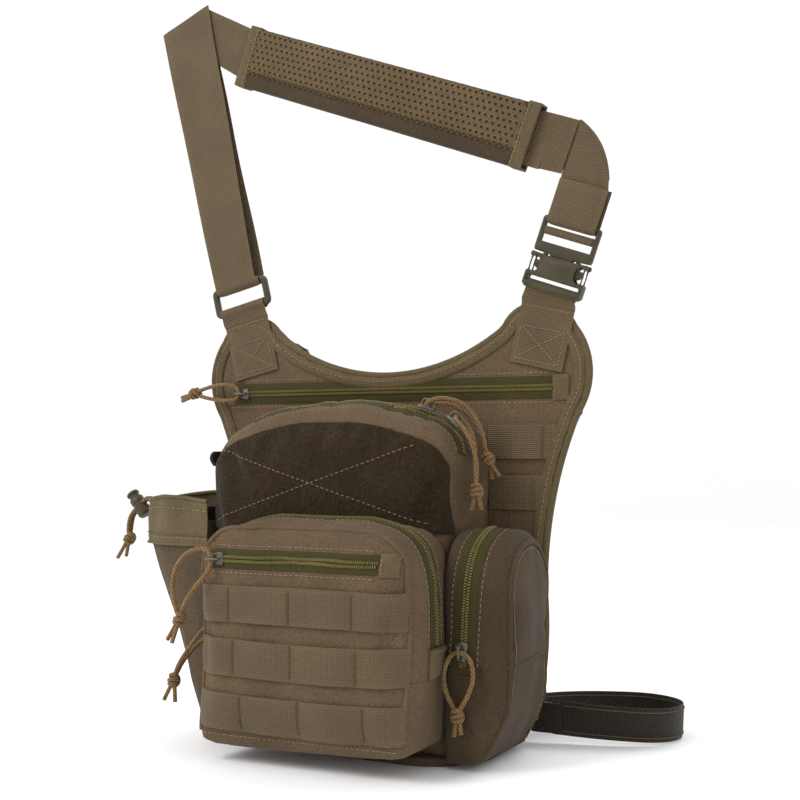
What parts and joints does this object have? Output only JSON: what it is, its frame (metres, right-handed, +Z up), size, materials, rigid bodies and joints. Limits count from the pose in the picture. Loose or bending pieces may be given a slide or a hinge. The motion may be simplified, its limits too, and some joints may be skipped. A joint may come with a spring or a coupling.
{
  "type": "sling bag",
  "caption": "One-shoulder sling bag with stacked zipped pockets, webbing rows, a drawstring bottle pouch, a padded strap and a waist strap.",
  "frame": {"origin": "on the underside of the flat base, midway between the back panel's two sides", "axes": "+X to the right seen from the front, -Y out of the front pocket, +Z up towards the shoulder strap"},
  "size_m": [0.4167, 0.2587, 0.564],
  "materials": {
    "body_fabric": "coarse woven nylon, coyote brown",
    "back_mesh": "padded spacer mesh, brown",
    "base_fabric": "dark coated woven nylon",
    "binding_tape": "grosgrain tape, olive tan",
    "loop_pile": "fuzzy loop pile, dark brown",
    "zip_tape": "olive zip tape and coil",
    "webbing": "ribbed nylon webbing, tan",
    "foam": "closed-cell foam board",
    "collar_nylon": "thin plain nylon, grey olive",
    "cord": "braided cord, ochre tan",
    "buckle_plastic": "moulded acetal, dark olive brown",
    "spring_steel": "spring wire",
    "gunmetal": "worn gunmetal plating",
    "pad_fabric": "woven nylon, brown",
    "pad_mesh": "open air mesh, tan over dark",
    "waist_webbing": "ribbed webbing, dark olive"
  },
  "bodies": {
    "bag": {"main_compartment": "body_fabric", "edge_binding": "binding_tape", "back_foam_board": "foam", "back_pad": "back_mesh", "base_panel": "base_fabric", "main_pouch": "body_fabric", "loop_panel": "loop_pile", "arch_zip": "zip_tape", "front_pocket": "body_fabric", "front_webbing_rows": "webbing", "gusset_zip": "zip_tape", "gusset_zip_garage": "binding_tape", "main_zip": "zip_tape", "zip_end_tabs": "binding_tape", "front_zip": "zip_tape", "side_pocket": "body_fabric", "side_zip": "zip_tape", "panel_webbing_rows": "webbing", "bottle_pouch": "body_fabric", "bottle_collar": "collar_nylon", "strap_anchor_left": "webbing", "strap_anchor_right": "webbing", "waist_anchor_tab": "webbing", "drawcord": "cord"},
    "shoulder_strap": {"strap_ring": "buckle_plastic", "anchor_loop_left": "webbing", "anchor_loop_right": "webbing", "strap_left_leg": "webbing", "strap_top_run": "webbing", "strap_right_leg": "webbing", "buckle_female": "buckle_plastic"},
    "pad": {"shoulder_pad": "pad_fabric", "pad_mesh_cover": "pad_mesh", "pad_end_bindings": "binding_tape"},
    "adjuster": {"slide_adjuster": "buckle_plastic"},
    "buckle_plug": {"buckle_male": "buckle_plastic", "buckle_webbing": "webbing"},
    "prong_left": {"buckle_prong_left": "buckle_plastic"},
    "prong_right": {"buckle_prong_right": "buckle_plastic"},
    "main_zip_slider": {"main_slider": "gunmetal", "main_pull": "cord"},
    "front_zip_slider": {"front_slider": "gunmetal", "front_pull": "cord"},
    "gusset_zip_slider": {"gusset_slider": "gunmetal", "gusset_pull": "cord"},
    "arch_zip_slider_left": {"arch_slider_left": "gunmetal"},
    "arch_zip_cord_left": {"arch_pull_left": "cord"},
    "arch_zip_slider_right": {"arch_slider_right": "gunmetal"},
    "arch_zip_cord_right": {"arch_pull_right": "cord"},
    "side_zip_slider": {"side_slider": "gunmetal", "side_pull": "cord"},
    "cord_lock": {"cord_lock_barrel": "buckle_plastic", "cord_lock_spring": "spring_steel"},
    "lock_button": {"cord_lock_button": "buckle_plastic"},
    "waist_strap": {"waist_strap": "waist_webbing"},
    "waist_adjuster": {"waist_adjuster": "buckle_plastic"}
  },
  "joints": [
    {"name": "strap_swing", "type": "hinge", "parent": "bag", "child": "shoulder_strap", "pos_m": [0, 0.0442, 0.32303], "axis": [1, 0, 0], "range_deg": [-90, 95]},
    {"name": "pad_slide", "type": "slide", "parent": "shoulder_strap", "child": "pad", "axis": [0.9358, 0, -0.3524], "range_m": [-0.005, 0.01]},
    {"name": "adjuster_slide", "type": "slide", "parent": "shoulder_strap", "child": "adjuster", "axis": [-0.225, 0, 0.9744], "range_m": [-0.06, 0.02]},
    {"name": "buckle_release", "type": "slide", "parent": "shoulder_strap", "child": "buckle_plug", "axis": [0.3305, 0, 0.9438], "range_m": [0, 0.02]},
    {"name": "prong_squeeze_right", "type": "hinge", "parent": "buckle_plug", "child": "prong_right", "pos_m": [0.14995, 0.0432, 0.3406], "axis": [0, 1, 0], "range_deg": [0, 6], "stiffness_Nm_per_rad": 0.2},
    {"name": "prong_squeeze_left", "type": "hinge", "parent": "buckle_plug", "child": "prong_left", "pos_m": [0.12635, 0.0432, 0.34886], "axis": [0, 1, 0], "range_deg": [-6, 0], "stiffness_Nm_per_rad": 0.2},
    {"name": "main_zip_pull", "type": "slide", "parent": "bag", "child": "main_zip_slider", "axis": [1, 0, 0], "range_m": [0, 0.24]},
    {"name": "front_zip_pull", "type": "slide", "parent": "bag", "child": "front_zip_slider", "axis": [1, 0, 0], "range_m": [0, 0.116]},
    {"name": "gusset_zip_pull", "type": "slide", "parent": "bag", "child": "gusset_zip_slider", "axis": [0, 0, 1], "range_m": [0, 0.034]},
    {"name": "arch_zip_pull_left", "type": "hinge", "parent": "bag", "child": "arch_zip_slider_left", "pos_m": [-0.013, 0.005, 0.033], "axis": [0, 1, 0], "range_deg": [-37, 0]},
    {"name": "arch_zip_pull_right", "type": "hinge", "parent": "bag", "child": "arch_zip_slider_right", "pos_m": [0.05121, 0.005, 0.20566], "axis": [0, 1, 0], "range_deg": [0, 15]},
    {"name": "arch_cord_swing_left", "type": "hinge", "parent": "arch_zip_slider_left", "child": "arch_zip_cord_left", "pos_m": [0.0537, 0.005, 0.2448], "axis": [0, 1, 0], "range_deg": [-92.5, 0]},
    {"name": "arch_cord_swing_right", "type": "hinge", "parent": "arch_zip_slider_right", "child": "arch_zip_cord_right", "pos_m": [0.0753, 0.005, 0.2347], "axis": [0, 1, 0], "range_deg": [-15, 0]},
    {"name": "side_zip_pull", "type": "slide", "parent": "bag", "child": "side_zip_slider", "axis": [0, 0, 1], "range_m": [0, 0.034]},
    {"name": "cord_lock_slide", "type": "slide", "parent": "bag", "child": "cord_lock", "axis": [-0.7511, 0, -0.6601], "range_m": [0, 0.002]},
    {"name": "lock_button_press", "type": "slide", "parent": "cord_lock", "child": "lock_button", "axis": [0.6601, 0, -0.7511], "range_m": [0, 0.003], "stiffness_N_per_m": 300, "deforming": ["cord_lock_spring"]},
    {"name": "waist_strap_swing", "type": "hinge", "parent": "bag", "child": "waist_strap", "pos_m": [0.125, 0.082, 0.0127], "axis": [0, 0, 1], "range_deg": [-60, 0]},
    {"name": "waist_adjuster_slide", "type": "slide", "parent": "waist_strap", "child": "waist_adjuster", "axis": [-0.515, -0.8572, 0], "range_m": [-0.01, 0.018]}
  ],
  "couplings": [
    {"joint": "prong_squeeze_left", "follows": "prong_squeeze_right", "ratio": -1},
    {"joint": "arch_cord_swing_left", "follows": "arch_zip_pull_left", "ratio": 2.5},
    {"joint": "arch_cord_swing_right", "follows": "arch_zip_pull_right", "ratio": -1}
  ]
}
